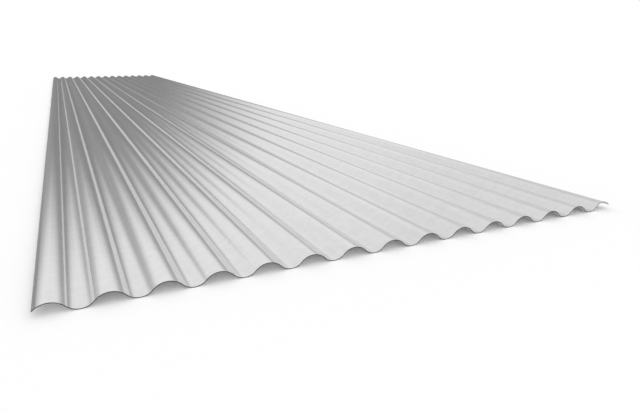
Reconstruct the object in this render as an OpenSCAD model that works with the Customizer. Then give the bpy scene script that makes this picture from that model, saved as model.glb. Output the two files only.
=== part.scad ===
// Corrugated steel sheet for roofs and walls, rolled in one piece from flat coil.
// X runs across the waves, Y along them and Z up. The origin is under the middle
// of the sheet, level with the undersides of the valleys that it lies on.

/* [Sheet] */
// Length of the sheet along its waves
sheet_length = 6000; // [600:10:12000]
// Thickness of the coated steel
sheet_thickness = 1.2; // [0.4:0.05:1.5]

/* [Waves] */
// Distance from one crest to the next
wave_pitch = 76; // [50:1:180]
// Height from valley to crest, measured on one face
wave_depth = 16.5; // [6:0.5:30]
// Distance from a crest line to the place on its flank where the valley bend takes over
crest_reach = 20.5; // [8:0.5:32]
// Number of crests across the sheet
crest_count = 15; // [2:1:20]

/* [Side edges] */
// Distance from an outer crest line to the side edge beyond it
edge_reach = 19.5; // [6:0.5:54]

/* [Hidden] */

// Each wave is a crest bend and a valley bend, with radii taken at the middle of the
// thickness. They meet on the flank on a common tangent, so the section has no
// straight part, and the bend that reaches further is the rounder one.
half_wave = wave_pitch / 2;
valley_reach = half_wave - crest_reach;
flank_turn = 2 * atan2(wave_depth, half_wave);
crest_radius = crest_reach / sin(flank_turn);
valley_radius = valley_reach / sin(flank_turn);

// Chords that a bend is drawn in. An even number puts a point on every crest line
// and valley line.
bend_chords = 12;

// A bend is [x of its axis, crest or valley, turn at its left end, turn at its right end],
// with turns measured from the crest line or valley line.
crest = 1;
valley = -1;
last_crest = crest_count - 1;

function crest_x(i) = (i - last_crest / 2) * wave_pitch;
function valley_x(i) = crest_x(i) + half_wave;
function bend_radius(kind) = kind == crest ? crest_radius : valley_radius;
function axis_z(kind) = (sheet_thickness + wave_depth) / 2 + kind * (wave_depth / 2 - bend_radius(kind));

// The outer crests stop at the side edges. Where an edge lies past the end of the
// crest bend, part of one more valley bend carries on to it.
edge_past_crest = edge_reach > crest_reach;
edge_turn = asin(min(edge_reach, crest_reach) / crest_radius);
edge_valley_turn = edge_past_crest ? asin((half_wave - edge_reach) / valley_radius) : flank_turn;

crest_bends = [
    for (i = [0 : last_crest])
        [crest_x(i), crest, i == 0 ? -edge_turn : -flank_turn, i == last_crest ? edge_turn : flank_turn]
];
valley_bends = [for (i = [0 : last_crest - 1]) [valley_x(i), valley, -flank_turn, flank_turn]];
left_edge_bend = [valley_x(-1), valley, edge_valley_turn, flank_turn];
right_edge_bend = [valley_x(last_crest), valley, -flank_turn, -edge_valley_turn];

// All bends from the left edge to the right one
bends = [
    if (edge_past_crest) left_edge_bend,
    for (i = [0 : last_crest]) each [crest_bends[i], if (i < last_crest) valley_bends[i]],
    if (edge_past_crest) right_edge_bend
];

// The points of one bend on the upper face (side 1) or the lower face (side -1)
function bend_points(bend, side, first) = [
    for (n = [first : bend_chords])
        let (
            kind = bend[1],
            turn = bend[2] + (bend[3] - bend[2]) * n / bend_chords,
            radius = bend_radius(kind) + side * kind * sheet_thickness / 2
        )
        [bend[0] + radius * sin(turn), axis_z(kind) + kind * radius * cos(turn)]
];

// A face from the left edge to the right one. A bend starts where the one before it ends.
function face_points(side) = [
    for (b = [0 : len(bends) - 1]) each bend_points(bends[b], side, b == 0 ? 0 : 1)
];

function reversed(points) = [for (n = [len(points) - 1 : -1 : 0]) points[n]];

module section() {
    polygon(concat(face_points(1), reversed(face_points(-1))));
}

module sheet() {
    color("silver")
        rotate([90, 0, 0])
            linear_extrude(height = sheet_length, center = true)
                section();
}

sheet();
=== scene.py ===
# %% [markdown]
# # A corrugated steel sheet
# A corrugated sheet starts as flat zinc-coated steel off a coil. Rolls press it into rounded waves
# that run the whole length, and a shear cuts it square. It is one piece of metal, so this lesson makes
# one mesh, and most of the work goes into its smooth bends and its finish.
#
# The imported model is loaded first, as a fixed frame. Everything is in metres, X runs across the waves,
# Y along them and Z up, and the sheet lies on its valleys at Z = 0. The frame's own box is kept, to
# compare the finished piece with it at the end.

# %% Load the frame
import math

import bmesh
import bpy
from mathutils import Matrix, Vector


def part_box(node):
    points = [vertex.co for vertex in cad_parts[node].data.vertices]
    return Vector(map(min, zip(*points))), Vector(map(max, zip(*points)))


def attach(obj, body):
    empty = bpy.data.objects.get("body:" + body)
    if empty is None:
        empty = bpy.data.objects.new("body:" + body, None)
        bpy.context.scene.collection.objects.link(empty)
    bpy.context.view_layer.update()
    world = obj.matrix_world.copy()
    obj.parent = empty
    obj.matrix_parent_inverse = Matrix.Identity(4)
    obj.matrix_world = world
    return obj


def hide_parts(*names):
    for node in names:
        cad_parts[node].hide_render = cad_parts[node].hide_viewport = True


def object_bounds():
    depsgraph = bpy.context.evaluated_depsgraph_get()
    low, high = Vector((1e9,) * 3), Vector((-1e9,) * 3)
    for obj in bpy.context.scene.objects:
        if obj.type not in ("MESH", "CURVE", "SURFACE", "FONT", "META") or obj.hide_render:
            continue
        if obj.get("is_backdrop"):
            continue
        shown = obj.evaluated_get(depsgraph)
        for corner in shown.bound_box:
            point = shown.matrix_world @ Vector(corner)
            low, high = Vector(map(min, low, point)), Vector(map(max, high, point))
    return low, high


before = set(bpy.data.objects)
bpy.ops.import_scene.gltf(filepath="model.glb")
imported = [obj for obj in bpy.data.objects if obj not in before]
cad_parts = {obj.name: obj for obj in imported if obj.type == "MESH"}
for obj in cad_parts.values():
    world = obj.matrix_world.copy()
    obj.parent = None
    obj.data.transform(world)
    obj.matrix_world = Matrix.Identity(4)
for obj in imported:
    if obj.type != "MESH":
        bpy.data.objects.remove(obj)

cad_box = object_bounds()
print("nodes in the frame:", sorted(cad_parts))

# %% [markdown]
# ## The sizes that drive the waves
# A wave is two bends, a crest and then a valley, that meet on the flank on a common tangent. So the
# section has no straight part. The crest reaches further down the flank than the valley reaches up it,
# which makes the crest the rounder of the two.
#
# Four sizes give both radii: the pitch from crest to crest, the depth from valley to crest, the reach
# of a crest and the thickness of the steel. The length, the depth and the number of crests are read
# from the frame, so that the mesh can't drift away from it.

# %% Name the sizes
MM = 0.001
WAVE_PITCH = 76 * MM
CREST_REACH = 20.5 * MM
EDGE_REACH = 19.5 * MM
THICKNESS = 1.2 * MM

low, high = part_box("sheet")
LENGTH = high.y - low.y
WAVE_DEPTH = high.z - low.z - THICKNESS

# The sides end on the flanks of the outer crests, so about half a wave is missing from the width
CREST_COUNT = round((high.x - low.x) / WAVE_PITCH + 0.5)

half_wave = WAVE_PITCH / 2
flank_turn = 2 * math.atan2(WAVE_DEPTH, half_wave)
crest_bend = CREST_REACH / math.sin(flank_turn)
valley_bend = (half_wave - CREST_REACH) / math.sin(flank_turn)
edge_turn = math.asin(EDGE_REACH / crest_bend)
print(f"{CREST_COUNT} crests, bent to {crest_bend / MM:.1f} mm, and valleys to {valley_bend / MM:.1f} mm")
print(f"the flanks are {math.degrees(flank_turn):.1f} degrees steep")

# %% [markdown]
# ## The section, one bend after another
# The rolls bend the strip one way and then the other. Spin does the same to a single point: it turns
# the point about an axis in small steps and leaves an edge behind each step. A crest turns one way
# about an axis below the sheet, and a valley turns back about an axis above it.
#
# A Wave modifier or a sine formula would be shorter to write, but a sine is too pointed for rolled
# steel, and its crests are as wide as its valleys. The spin gives true arcs. It follows the upper
# face, so a crest has half a thickness more radius than its middle and a valley half a thickness less.
#
# On the way each point keeps its distance along the bent strip, measured on the flat coil that the
# sheet was rolled from. The finish will need it, because the marks of the coil follow the metal.

# %% A helper that bends the steel
BEND_STEPS = 20

steel = bmesh.new()
across = steel.verts.layers.float.new("across")


def bend(tip, axis_x, axis_z, turn, middle_radius):
    """Spins the tip of the section about an axis along Y, and returns the new tip."""
    before = len(steel.verts)
    made = bmesh.ops.spin(
        steel,
        geom=[tip],
        cent=(axis_x, low.y, axis_z),
        axis=(0, 1, 0),
        angle=turn,
        steps=BEND_STEPS,
    )
    steel.verts.ensure_lookup_table()
    for step, vert in enumerate(steel.verts[before:], start=1):
        vert[across] = tip[across] + middle_radius * abs(turn) * step / BEND_STEPS
    return next(part for part in made["geom_last"] if isinstance(part, bmesh.types.BMVert))


print(f"a bend of {math.degrees(2 * flank_turn):.0f} degrees is drawn in {BEND_STEPS} steps")

# %% Bend the whole section
crest_radius = crest_bend + THICKNESS / 2
crest_axis_z = high.z - crest_radius
valley_axis_z = high.z - WAVE_DEPTH + valley_bend - THICKNESS / 2
first_crest_x = -(CREST_COUNT - 1) / 2 * WAVE_PITCH

left_edge_x = first_crest_x - crest_radius * math.sin(edge_turn)
left_edge_z = crest_axis_z + crest_radius * math.cos(edge_turn)
tip = steel.verts.new((left_edge_x, low.y, left_edge_z))

for crest in range(CREST_COUNT):
    crest_x = first_crest_x + crest * WAVE_PITCH
    turn_in = edge_turn if crest == 0 else flank_turn
    turn_out = edge_turn if crest == CREST_COUNT - 1 else flank_turn
    tip = bend(tip, crest_x, crest_axis_z, turn_in + turn_out, crest_bend)
    if crest < CREST_COUNT - 1:
        tip = bend(tip, crest_x + half_wave, valley_axis_z, -2 * flank_turn, valley_bend)

coil_width = tip[across]
print(f"the section has {len(steel.edges)} edges, and the flat coil was {coil_width / MM:.0f} mm wide")

# %% [markdown]
# ## Drawn out to its length
# Extruding the section's edges along Y makes the sheet's upper face, as the rolls feed it out. One long
# step would do for the shape. Several shorter ones keep the faces from being slivers thousands of times
# longer than they are wide, which shade badly and make poor exports.

# %% Extrude the section along the sheet
LENGTH_STEPS = 24

edge_row = steel.edges[:]
for step in range(LENGTH_STEPS):
    made = bmesh.ops.extrude_edge_only(steel, edges=edge_row)["geom"]
    moved = {part for part in made if isinstance(part, bmesh.types.BMVert)}
    edge_row = [
        part
        for part in made
        if isinstance(part, bmesh.types.BMEdge) and moved.issuperset(part.verts)
    ]
    bmesh.ops.translate(steel, verts=list(moved), vec=(0, LENGTH / LENGTH_STEPS, 0))

print(f"the upper face has {len(steel.faces)} faces")

# %% [markdown]
# ## Its thickness
# Steel of 1.2 mm has an edge that catches the eye, a thin dark line all along the cut end. Solidify
# gives the face its second side and closes the rim between them. The faces must all look up first, so
# that the thickness goes down, away from the upper face that the bends were drawn on.
#
# A Solidify modifier would look the same, but here the lower points are also marked with their depth
# in the steel. The cut edge will read it, because a shear leaves two bands on an edge, one above the
# other.

# %% Give the sheet its thickness
depth = steel.verts.layers.float.new("depth")
upper = set(steel.verts)

bmesh.ops.recalc_face_normals(steel, faces=steel.faces)
if sum(face.normal.z for face in steel.faces) < 0:
    bmesh.ops.reverse_faces(steel, faces=steel.faces)
bmesh.ops.solidify(steel, geom=steel.faces[:], thickness=THICKNESS)
bmesh.ops.recalc_face_normals(steel, faces=steel.faces)
for vert in steel.verts:
    vert[depth] = 0.0 if vert in upper else 1.0

lowest = min(vert.co.z for vert in steel.verts)
print(f"the undersides of the valleys lie at {lowest / MM:.3f} mm")

# %% [markdown]
# ## Its edges
# A shear leaves an edge that is not quite sharp, so a bevel a tenth of a millimetre wide breaks it.
# Only the edges round the rim are steep enough to be picked by angle, as the bends turn a few degrees
# a step. The rim's own faces are bare steel where the shear went through, so they are given a second
# material first, and the bevel between them takes the material of its neighbours.

# %% Break the edges and mark the bare rim
ZINC, BARE_STEEL = 0, 1
BREAK_WIDTH = 0.1 * MM
BREAK_SEGMENTS = 2
RIM_ANGLE = math.radians(60)

rim_edges = [edge for edge in steel.edges if edge.calc_face_angle(0) > RIM_ANGLE]
for face in steel.faces:
    through = {round(vert[depth]) for vert in face.verts}
    face.material_index = BARE_STEEL if len(through) > 1 else ZINC

bmesh.ops.bevel(
    steel,
    geom=rim_edges,
    offset=BREAK_WIDTH,
    affect="EDGES",
    segments=BREAK_SEGMENTS,
    profile=0.5,
    material=-1,
)
bare_count = sum(face.material_index == BARE_STEEL for face in steel.faces)
print(f"{len(rim_edges)} rim edges were broken; {bare_count} of {len(steel.faces)} faces are bare steel")

# %% [markdown]
# ## From bmesh to an object
# The finished mesh becomes an object at the origin, unturned and unscaled, with its place in its
# vertices. A helper does it, because the floor and the studio round the sheet are made the same way.
#
# Smooth shading hides the steps of the bends. Edges that turn more than the bends do are marked sharp,
# so that the narrow bevels along the rim don't tilt the shading of the faces beside them: on bright
# metal even a small tilt shows as a stain.

# %% Make the sheet's object
SMOOTH_BELOW = math.radians(12)


def place(build, name):
    """Turns a finished bmesh into an object of the scene."""
    mesh = bpy.data.meshes.new(name)
    build.to_mesh(mesh)
    build.free()
    placed = bpy.data.objects.new(name, mesh)
    bpy.context.scene.collection.objects.link(placed)
    return placed


sheet = place(steel, "corrugated_sheet")
sheet.data.shade_smooth()
sheet.data.set_sharp_from_angle(angle=SMOOTH_BELOW)
print("sheet size in mm:", [round(side / MM, 2) for side in sheet.dimensions])

# %% [markdown]
# ## Helpers for the finishes
# Every finish here is a small net of nodes: a pattern is made, its range is set, and it drives a socket
# of the shader. Three helpers keep those nets short. One adds a node and sets its sockets by name, one
# joins two nodes, and one starts a new material.

# %% Helpers for building materials
def add(tree, kind, sockets=None, **settings):
    """Adds a node, with its sockets and its settings given by name."""
    node = tree.nodes.new(kind)
    for name, value in settings.items():
        setattr(node, name, value)
    for name, value in (sockets or {}).items():
        node.inputs[name].default_value = value
    return node


def join(tree, source, target, socket, output=0):
    """Links an output of one node to a socket of another."""
    tree.links.new(source.outputs[output], target.inputs[socket])


def new_material(name):
    """Makes a node material, and returns it with its tree and its shader."""
    material = bpy.data.materials.new(name)
    material.use_nodes = True
    return material, material.node_tree, material.node_tree.nodes["Principled BSDF"]


zinc, tree, shader = new_material("zinc_coat")
print(f"a new material starts with {len(tree.nodes)} nodes")

# %% [markdown]
# ## Where a spot lies on the coil
# The marks of rolling and coating were made on flat strip, before it was bent. A pattern on X and Y
# would be stretched on the flanks, where X hardly moves while the metal runs down steeply. So a spot's
# place is taken on the flat coil: the kept distance across it, and Y along it.

# %% A helper for the coil's own coordinates
def coil_place(tree, marks_per_metre):
    """Gives a spot's place on the flat coil, scaled for a pattern across and along it."""
    distance = add(tree, "ShaderNodeAttribute", attribute_name="across")
    object_place = add(tree, "ShaderNodeTexCoord")
    axes = add(tree, "ShaderNodeSeparateXYZ")
    join(tree, object_place, axes, "Vector", "Object")
    flat = add(tree, "ShaderNodeCombineXYZ")
    join(tree, distance, flat, "X", "Fac")
    join(tree, axes, flat, "Y", "Y")
    scaled = add(tree, "ShaderNodeMapping", {"Scale": (*marks_per_metre, 1.0)})
    join(tree, flat, scaled, "Vector")
    return scaled


print("distance across the coil is kept on", len(sheet.data.attributes["across"].data), "points")

# %% [markdown]
# ## The zinc coat
# New zinc is a bright satin metal. Most of what the eye sees on it is the room, mirrored and squeezed
# by the waves. A thin skin of oxide scatters the rest, so the shader is mostly metal with a small
# diffuse share, and that share keeps the dark reflections from going black.
#
# Three marks vary it. The work rolls leave fine lines along the strip. The air knives that wipe the
# molten zinc leave broad bands of slightly unlike thickness. And the zinc freezes in crystals, the
# spangle, about a centimetre across. Noise that is drawn out along the coil gives the first two, and
# the cells of a Voronoi texture give the third.

# %% Make the patterns of the zinc coat
ROLL_LINES_PER_METRE = (420, 0.9)
WIPE_BANDS_PER_METRE = (28, 0.35)
CRYSTALS_PER_METRE = (95, 95)

roll_lines = add(
    tree,
    "ShaderNodeTexNoise",
    {"Scale": 1.0, "Detail": 3.0, "Roughness": 0.6},
    noise_dimensions="2D",
)
join(tree, coil_place(tree, ROLL_LINES_PER_METRE), roll_lines, "Vector")

wipe_bands = add(tree, "ShaderNodeTexNoise", {"Scale": 1.0, "Detail": 2.0}, noise_dimensions="2D")
join(tree, coil_place(tree, WIPE_BANDS_PER_METRE), wipe_bands, "Vector")

spangle = add(tree, "ShaderNodeTexVoronoi", {"Scale": 1.0, "Randomness": 1.0}, voronoi_dimensions="2D")
join(tree, coil_place(tree, CRYSTALS_PER_METRE), spangle, "Vector")
crystal = add(tree, "ShaderNodeSeparateColor")
join(tree, spangle, crystal, "Color", "Color")
print(f"the crystals are about {1 / CRYSTALS_PER_METRE[0] / MM:.0f} mm across")

# %% [markdown]
# All three marks are faint on a new sheet. They change the tone by a few percent and the roughness
# by a little more, which is what makes a reflection look like metal and not like glass. Math nodes add
# them up, each with a weight of its own, round a middle value.

# %% Blend the patterns into the tone of the zinc
def math_node(tree, operation, first, second):
    """Works out one value from two, each a number, a node, or a node with the name of its output."""
    node = add(tree, "ShaderNodeMath", operation=operation)
    for socket, value in enumerate((first, second)):
        if isinstance(value, tuple):
            join(tree, value[0], node, socket, value[1])
        elif isinstance(value, bpy.types.Node):
            join(tree, value, node, socket)
        else:
            node.inputs[socket].default_value = value
    return node


def layered(tree, base, layers):
    """Adds weighted patterns to a base value; a pattern at its middle changes nothing."""
    total = base - sum(weight / 2 for _, weight in layers)
    for pattern, weight in layers:
        total = math_node(tree, "ADD", math_node(tree, "MULTIPLY", pattern, weight), total)
    return total


ZINC_TONE = 0.70
ROLL_TONE, WIPE_TONE, CRYSTAL_TONE = 0.06, 0.04, 0.035

tone_layers = [(roll_lines, ROLL_TONE), (wipe_bands, WIPE_TONE), (crystal, CRYSTAL_TONE)]
join(tree, layered(tree, ZINC_TONE, tone_layers), shader, "Base Color")
print(f"the zinc reflects about {ZINC_TONE:.0%} of the light")

# %% Set the gloss of the zinc
ZINC_ROUGHNESS = 0.08
ROLL_GLOSS, WIPE_GLOSS, CRYSTAL_GLOSS = 0.05, 0.03, 0.03
METAL_SHARE = 0.68

gloss_layers = [(roll_lines, ROLL_GLOSS), (wipe_bands, WIPE_GLOSS), (crystal, CRYSTAL_GLOSS)]
join(tree, layered(tree, ZINC_ROUGHNESS, gloss_layers), shader, "Roughness")
shader.inputs["Metallic"].default_value = METAL_SHARE
shader.inputs["Specular IOR Level"].default_value = 0.0

# The roll lines are a few thousandths of a millimetre deep
LINE_DEPTH = 0.004 * MM
relief = add(tree, "ShaderNodeBump", {"Strength": 1.0, "Distance": LINE_DEPTH})
join(tree, roll_lines, relief, "Height")
join(tree, relief, shader, "Normal")
sheet.data.materials.append(zinc)
print("zinc_coat has", len(tree.nodes), "nodes")

# %% [markdown]
# ## The cut edge
# A shear first presses into the steel and burnishes it, then the rest breaks away. So a cut edge has a
# smoother, lighter band on top and a dull, torn band below, both much darker than the zinc. Their tones
# are darker still than bare steel, near black. That is partly the cut's own tone and partly painted
# shade, which stands for the contact shadow along the cut line. The depth that each point has kept tells
# the two bands apart, and a streaky noise across the thickness stands for the marks that the blade drags
# down the cut. A Map Range node with soft ends, in a helper of its own, blends one band into the other.

# %% Tell the two bands of the cut apart
def soft_step(tree, source, start, end, first=0.0, last=1.0, output=0):
    """Maps start..end of a node's output to first..last, with soft ends."""
    sockets = {"From Min": start, "From Max": end, "To Min": first, "To Max": last}
    node = add(tree, "ShaderNodeMapRange", sockets, interpolation_type="SMOOTHSTEP")
    join(tree, source, node, "Value", output)
    return node


BURNISHED_SHARE = 0.35
BAND_BLEND = 0.12

bare, tree, shader = new_material("cut_steel_with_painted_shade")
cut_depth = add(tree, "ShaderNodeAttribute", attribute_name="depth")
torn = soft_step(
    tree,
    cut_depth,
    BURNISHED_SHARE - BAND_BLEND,
    BURNISHED_SHARE + BAND_BLEND,
    output="Fac",
)
print(f"the upper {BURNISHED_SHARE * THICKNESS / MM:.2f} mm of the cut is burnished")

# %% Make the bare steel of the cut edge, darkened with painted shade
DRAG_MARKS_PER_METRE = (2500, 2500)
DRAG_FROM, DRAG_TO = 0.2, 0.8
DRAG_DARKEST, DRAG_LIGHTEST = 0.7, 1.3
# Both tones are darker than bare steel: partly the cut's own tone, partly painted shade for the contact
# shadow along the cut line
BURNISHED_TONE_WITH_SHADE, TORN_TONE_WITH_SHADE = 0.08, 0.03
BURNISHED_ROUGHNESS, TORN_ROUGHNESS = 0.35, 0.65

drag_noise = add(tree, "ShaderNodeTexNoise", {"Scale": 1.0, "Detail": 4.0}, noise_dimensions="2D")
join(tree, coil_place(tree, DRAG_MARKS_PER_METRE), drag_noise, "Vector")
drag_marks = soft_step(tree, drag_noise, DRAG_FROM, DRAG_TO, DRAG_DARKEST, DRAG_LIGHTEST)

band_tone_with_shade = soft_step(tree, torn, 0.0, 1.0, BURNISHED_TONE_WITH_SHADE, TORN_TONE_WITH_SHADE)
join(tree, math_node(tree, "MULTIPLY", band_tone_with_shade, drag_marks), shader, "Base Color")
band_roughness = soft_step(tree, torn, 0.0, 1.0, BURNISHED_ROUGHNESS, TORN_ROUGHNESS)
join(tree, band_roughness, shader, "Roughness")
shader.inputs["Metallic"].default_value = 1.0
sheet.data.materials.append(bare)
print("cut_steel_with_painted_shade has", len(tree.nodes), "nodes")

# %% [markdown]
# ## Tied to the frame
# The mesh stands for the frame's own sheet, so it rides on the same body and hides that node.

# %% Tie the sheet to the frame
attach(sheet, "root")
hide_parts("sheet")
print("materials on the sheet:", [material.name for material in sheet.data.materials])

# %% [markdown]
# ## A white floor
# The sheet lies on a plain white floor that goes on past the horizon. It is made like a light table, a
# white sheet that also glows a little from below. The glow and the reflected sky together give nearly
# the white of the sky, so the two meet without a line, and under the waves, where little of the sky
# gets in, the glow keeps the shadow soft and grey.

# %% Make the floor
FLOOR_REACH = 400.0
FLOOR_TONE = 0.91
FLOOR_GLOW = 0.087
WHITE = (1.0, 1.0, 1.0, 1.0)


def dull_paint(name, tone):
    """Makes a dull paint of one grey tone, and returns it with its shader."""
    paint, _, shader = new_material(name)
    shader.inputs["Base Color"].default_value = (tone, tone, tone, 1.0)
    shader.inputs["Roughness"].default_value = 1.0
    shader.inputs["Specular IOR Level"].default_value = 0.0
    return paint, shader


floor_build = bmesh.new()
bmesh.ops.create_grid(floor_build, x_segments=1, y_segments=1, size=FLOOR_REACH)
floor = place(floor_build, "floor")

floor_paint, shader = dull_paint("floor_white", FLOOR_TONE)
shader.inputs["Emission Color"].default_value = WHITE
shader.inputs["Emission Strength"].default_value = FLOOR_GLOW
floor.data.materials.append(floor_paint)
floor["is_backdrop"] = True
print(f"the floor reaches {FLOOR_REACH:.0f} m each way")

# %% [markdown]
# ## Soft light from all round
# Metal is lit by what it mirrors, so a few lamps would show as spots in every wave. A white sky on all
# sides is the softest light there is. At a strength of 1 it lights a level surface so that a colour
# renders as it is written.

# %% Make the sky
SKY = 1.0

world = bpy.data.worlds.new("white_studio")
bpy.context.scene.world = world
world.use_nodes = True
background = world.node_tree.nodes["Background"]
background.inputs["Color"].default_value = WHITE
background.inputs["Strength"].default_value = SKY
print(f"the sky has a strength of {SKY}")

# %% [markdown]
# ## A studio wall for the metal to mirror
# A mirror in an all-white room looks like white paper. Photographers of metal set soft cards where the
# metal will mirror them and the lens won't see them, and the waves then draw the cards as long lines.
# Here a dark card stands low beyond each end of the sheet. Seen along the sheet, its far part mirrors
# the card and turns dark, while its near part mirrors the white above the card and stays bright.
#
# Planes would show hard sides, so the cards are painted on one ring wall round the whole stage: darkest
# straight along the sheet, and fading to white to the sides and upwards. The wall shows only in
# reflections, so it neither lights the sheet nor shades it.

# %% Helpers for the studio
WALL_RADIUS = 60.0
WALL_TOP = 60


def wall_height(elevation):
    """Height on the wall at an elevation in degrees, seen from the middle of the stage."""
    return WALL_RADIUS * math.tan(math.radians(elevation))


def only_mirrored(thing):
    """Hides an object from everything but reflections."""
    thing.visible_camera = False
    thing.visible_diffuse = False
    thing.visible_shadow = False


print(f"the wall is {wall_height(WALL_TOP):.0f} m high")

# %% Build the ring wall
WALL_STEPS = 64

wall_build = bmesh.new()
wall_start = wall_build.verts.new((0, WALL_RADIUS, 0))
bmesh.ops.spin(
    wall_build,
    geom=[wall_start],
    cent=(0, 0, 0),
    axis=(0, 0, 1),
    angle=2 * math.pi,
    steps=WALL_STEPS,
    use_merge=True,
)
made = bmesh.ops.extrude_edge_only(wall_build, edges=wall_build.edges[:])["geom"]
rim = [part for part in made if isinstance(part, bmesh.types.BMVert)]
bmesh.ops.translate(wall_build, verts=rim, vec=(0, 0, wall_height(WALL_TOP)))
wall = place(wall_build, "studio_wall")
only_mirrored(wall)
wall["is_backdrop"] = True
print(f"the wall has {len(wall.data.polygons)} faces")

# %% Find the turn of a spot on the wall
wall_paint = bpy.data.materials.new("wall_paint")
wall_paint.use_nodes = True
tree = wall_paint.node_tree
tree.nodes.clear()
spot = add(tree, "ShaderNodeTexCoord")
axes = add(tree, "ShaderNodeSeparateXYZ")
join(tree, spot, axes, "Vector", "Object")

# The turn is 0 straight beyond the far end, and grows to the right
turn = math_node(tree, "ARCTAN2", (axes, "X"), (axes, "Y"))


def turn_from(middle):
    """How far a spot has turned from a direction in degrees, to either side, in radians."""
    offset = math_node(tree, "SUBTRACT", turn, math.radians(middle))
    return math_node(tree, "ABSOLUTE", offset, 0.0)


print(f"the turn of a spot is worked out by {len(tree.nodes)} nodes")

# %% [markdown]
# The white of the wall is a little brighter low down than high up, as in a room lit from its walls, and
# greyer to the right, where the photographed sheet mirrors something less bright. That grey draws the
# fine dark line along each crest on the right side of the sheet. It fades out towards the wall's top, so
# that the top doesn't show in the flanks as a hard edge.

# %% Paint the white of the wall
LOW_WHITE, HIGH_WHITE = 1.06, 0.97
LOW_WHITE_END, HIGH_WHITE_START = 28, 42
RIGHT_MIDDLE, RIGHT_FULL, RIGHT_END = 75, 30, 50
RIGHT_FADE_FROM = 40
RIGHT_DARK = 0.3


def by_elevation(start, end, first, last):
    """Maps a spot's height, between two elevations in degrees, to first..last."""
    return soft_step(tree, axes, wall_height(start), wall_height(end), first, last, output="Z")


def by_angle(angle, start, end, first, last):
    """Maps an angle between spots, between two values in degrees, to first..last."""
    return soft_step(tree, angle, math.radians(start), math.radians(end), first, last)


plain_white = by_elevation(LOW_WHITE_END, HIGH_WHITE_START, LOW_WHITE, HIGH_WHITE)
to_the_right = by_angle(turn_from(RIGHT_MIDDLE), RIGHT_FULL, RIGHT_END, RIGHT_DARK, 0.0)
below_top = by_elevation(RIGHT_FADE_FROM, WALL_TOP, 1.0, 0.0)
right_grey = math_node(tree, "MULTIPLY", to_the_right, below_top)
white = math_node(tree, "MULTIPLY", plain_white, math_node(tree, "SUBTRACT", 1.0, right_grey))
print(f"the white runs from {LOW_WHITE} low down to {HIGH_WHITE} high up")

# %% [markdown]
# The cards are multiplied out of two soft steps, one sideways and one upwards. Their tops round off to
# the sides, because the upward step is taken on a height that grows with the turn away from the card's
# middle. The near card is the wider one: it stands behind the photograph's camera, and it is there for
# a viewer at the other end. The cards are fully dark only in a first reflection. In a reflection of a
# reflection, between two flanks or under the sheet, they would be seen through two blurred mirrors, and
# there half of their dark is taken back.

# %% Paint the two cards
FAR_CARD_TURN = 3
CARD_HALF_WIDTH = 60
CARD_SOFT_FROM, CARD_SOFT_TO = 8.5, 24.0
NEAR_CARD_WIDER = 1.3
CARD_ROUNDING = 0.4
CARD_DARK = 0.97
FIRST_BOUNCE, SECOND_BOUNCE = 1, 2
SECOND_LOOK = 0.5

# A spot is measured from the middle of the card that is nearer to it
from_near_end = math_node(tree, "SUBTRACT", math.pi, turn_from(0))
from_near_card = math_node(tree, "DIVIDE", from_near_end, NEAR_CARD_WIDER)
aside = math_node(tree, "MINIMUM", turn_from(FAR_CARD_TURN), from_near_card)
sideways = by_angle(aside, 0.0, CARD_HALF_WIDTH, 1.0, 0.0)

growth = math_node(tree, "ADD", math_node(tree, "MULTIPLY", aside, CARD_ROUNDING), 1.0)
rounded_height = math_node(tree, "MULTIPLY", (axes, "Z"), growth)
card_foot, card_top = wall_height(CARD_SOFT_FROM), wall_height(CARD_SOFT_TO)
upwards = soft_step(tree, rounded_height, card_foot, card_top, CARD_DARK, 0.0)

path = add(tree, "ShaderNodeLightPath")
looks = soft_step(tree, path, FIRST_BOUNCE, SECOND_BOUNCE, 1.0, SECOND_LOOK, output="Ray Depth")
darkness = math_node(tree, "MULTIPLY", math_node(tree, "MULTIPLY", sideways, upwards), looks)
lightness = math_node(tree, "SUBTRACT", 1.0, darkness)
print(f"the cards fade out {CARD_SOFT_TO:.0f} degrees up, between {card_foot:.0f} and {card_top:.0f} m")

# %% [markdown]
# The photograph doesn't tell what stands to the left and right of the sheet, because no wave mirrors
# those places towards its camera. Plain white there would make the sheet look flat from the side. So a
# softer card stands low on either side, and its reflections draw the waves for a viewer who walks round.

# %% Paint the side cards
SIDE_CARD_FULL, SIDE_CARD_END = 10, 30
SIDE_CARD_FROM, SIDE_CARD_TO = 14, 34
SIDE_CARD_DARK = 0.65

past_side = math_node(tree, "SUBTRACT", turn_from(0), math.pi / 2)
from_side = math_node(tree, "ABSOLUTE", past_side, 0.0)
side_across = by_angle(from_side, SIDE_CARD_FULL, SIDE_CARD_END, SIDE_CARD_DARK, 0.0)
side_up = by_elevation(SIDE_CARD_FROM, SIDE_CARD_TO, 1.0, 0.0)
side_dark = math_node(tree, "MULTIPLY", side_across, side_up)
side_lightness = math_node(tree, "SUBTRACT", 1.0, side_dark)
print(f"the side cards fade out {SIDE_CARD_TO} degrees up")

# %% [markdown]
# Last comes a narrow strip of light in the far card, such as a gap between two cards lets through. It
# shows as a fine light line along the crests and valleys in the middle of the sheet.

# %% Paint the gap and light the wall
GAP_TURN, GAP_HALF_WIDTH = -2.5, 3.5
GAP_FROM, GAP_TO = 10, 16
GAP_LIGHT = 0.15

gap_across = by_angle(turn_from(GAP_TURN), 0.0, GAP_HALF_WIDTH, GAP_LIGHT, 0.0)
gap_up = by_elevation(GAP_FROM, GAP_TO, 0.0, 1.0)
gap = math_node(tree, "MULTIPLY", math_node(tree, "MULTIPLY", gap_across, gap_up), upwards)

carded = math_node(tree, "MULTIPLY", math_node(tree, "MULTIPLY", white, lightness), side_lightness)
glow = add(tree, "ShaderNodeEmission")
join(tree, math_node(tree, "ADD", carded, gap), glow, "Strength")
surface = add(tree, "ShaderNodeOutputMaterial")
join(tree, glow, surface, "Surface")
wall.data.materials.append(wall_paint)
print(f"the wall's paint has {len(tree.nodes)} nodes")

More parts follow.
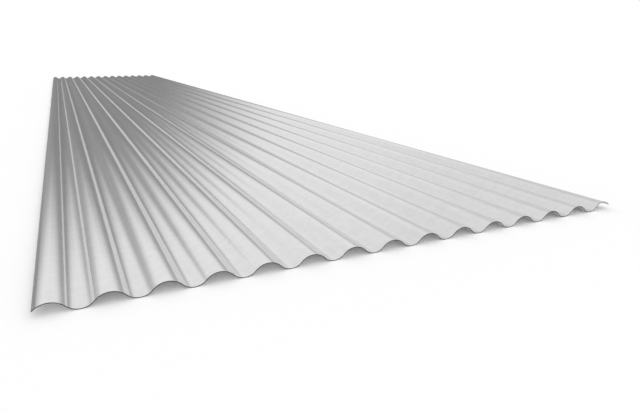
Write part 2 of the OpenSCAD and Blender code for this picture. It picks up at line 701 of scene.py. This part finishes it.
# %% [markdown]
# ## A dark strip beside the left edge
# A bright edge fades away against a white floor. The old remedy is a strip of dark paper that stands
# close beside the edge, just out of the picture. The outer flank of the first crest mirrors it, and the
# edge gets a fine dark line. Like the wall, the strip shows only in reflections.

# %% Stand the strip beside the sheet
STRIP_AWAY = 70 * MM
STRIP_HEIGHT = 40 * MM
STRIP_TONE = 0.12

strip_build = bmesh.new()
strip_foot = bmesh.ops.create_vert(strip_build, co=(low.x - STRIP_AWAY, low.y, 0))["vert"]
made = bmesh.ops.extrude_vert_indiv(strip_build, verts=strip_foot)
bmesh.ops.translate(strip_build, verts=made["verts"], vec=(0, LENGTH, 0))
made = bmesh.ops.extrude_edge_only(strip_build, edges=strip_build.edges[:])["geom"]
strip_top = [part for part in made if isinstance(part, bmesh.types.BMVert)]
bmesh.ops.translate(strip_build, verts=strip_top, vec=(0, 0, STRIP_HEIGHT))
strip = place(strip_build, "dark_strip")

strip_paper, _ = dull_paint("dark_paper", STRIP_TONE)
strip.data.materials.append(strip_paper)
only_mirrored(strip)
strip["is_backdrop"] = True
print(f"the strip stands {STRIP_AWAY / MM:.0f} mm from the sheet and is {STRIP_HEIGHT / MM:.0f} mm high")

# %% [markdown]
# ## The camera
# The photograph was taken from low over the near left corner, looking along the sheet with a normal
# lens. The camera stands where a fit of the crests, the side edges and the far end puts it. Its lens is
# given in pixels of a picture 640 wide, and the small sideways shift is the crop of that picture.

# %% Set the camera
PICTURE_WIDTH = 640
FOCAL_PIXELS = 515.6
SHIFT_PIXELS = 8
CAMERA_X = -480.0 * MM
CAMERA_BEFORE_END = 685.9 * MM
CAMERA_OVER_VALLEYS = 329.8 * MM
CAMERA_YAW = math.radians(25.37)
CAMERA_PITCH = math.radians(17.03)
SEE_FAR = 2000.0

lens = bpy.data.cameras.new("camera")
lens.lens = FOCAL_PIXELS / PICTURE_WIDTH * lens.sensor_width
lens.shift_x = SHIFT_PIXELS / PICTURE_WIDTH
lens.clip_end = SEE_FAR
camera = bpy.data.objects.new("camera", lens)
camera.location = (CAMERA_X, low.y - CAMERA_BEFORE_END, CAMERA_OVER_VALLEYS + THICKNESS)
camera.rotation_euler = (math.pi / 2 - CAMERA_PITCH, 0, -CAMERA_YAW)
bpy.context.scene.collection.objects.link(camera)
bpy.context.scene.camera = camera
bpy.context.scene.view_settings.view_transform = "Standard"
print(f"a {lens.lens:.1f} mm lens, {camera.location.z / MM:.0f} mm over the floor")

# %% [markdown]
# ## Compare and finish
# The dressed sheet must keep the size of the frame's own sheet. The two boxes are compared, and their
# difference is printed in millimetres.

# %% Compare the boxes and finish
visual_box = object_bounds()
difference_mm = [
    round((seen_side - built_side) / MM, 3)
    for seen_corner, built_corner in zip(visual_box, cad_box)
    for seen_side, built_side in zip(seen_corner, built_corner)
]
print("the dressed box differs from the frame's by, in mm:", difference_mm)
